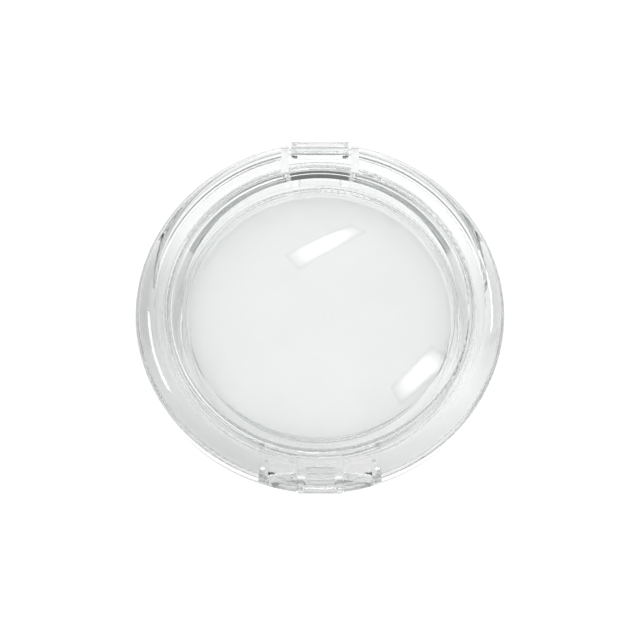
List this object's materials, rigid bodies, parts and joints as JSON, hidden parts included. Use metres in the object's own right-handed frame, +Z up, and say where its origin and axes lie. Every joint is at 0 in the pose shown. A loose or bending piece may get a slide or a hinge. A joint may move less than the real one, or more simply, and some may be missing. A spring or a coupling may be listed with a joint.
{
  "type": "wet palette",
  "caption": "Round clear plastic wet palette compact with a hinged domed lid, push-button latch, seal ring and a sponge pan under palette paper",
  "frame": {"origin": "centre of the foot ring on the table plane", "axes": "+Z up through the lid's dome, +Y towards the hinge, -Y towards the latch button, +X to the right seen from the front"},
  "size_m": [0.075, 0.0744, 0.0165],
  "materials": {
    "clear_plastic": "polished clear polystyrene",
    "clear_pan": "clear, slightly hazy",
    "silicone": "translucent silicone",
    "sponge": "fine open-cell foam",
    "paper": "damp membrane paper"
  },
  "bodies": {
    "base": {"base_shell": "clear_plastic", "hinge_pin": "clear_plastic", "sponge_pan": "clear_pan", "seal_ring": "silicone", "hydration_sponge": "sponge", "palette_paper": "paper", "button_spring": "clear_plastic"},
    "lid": {"lid_shell": "clear_plastic"},
    "button": {"latch_button": "clear_plastic"}
  },
  "joints": [
    {"name": "lid_hinge", "type": "hinge", "parent": "base", "child": "lid", "pos_m": [0, 0.0354, 0.00965], "axis": [-1, 0, 0], "range_deg": [0, 130]},
    {"name": "button_press", "type": "slide", "parent": "base", "child": "button", "axis": [0, 1, 0], "range_m": [0, 0.0008], "stiffness_N_per_m": 2000, "deforming": ["button_spring"]}
  ]
}
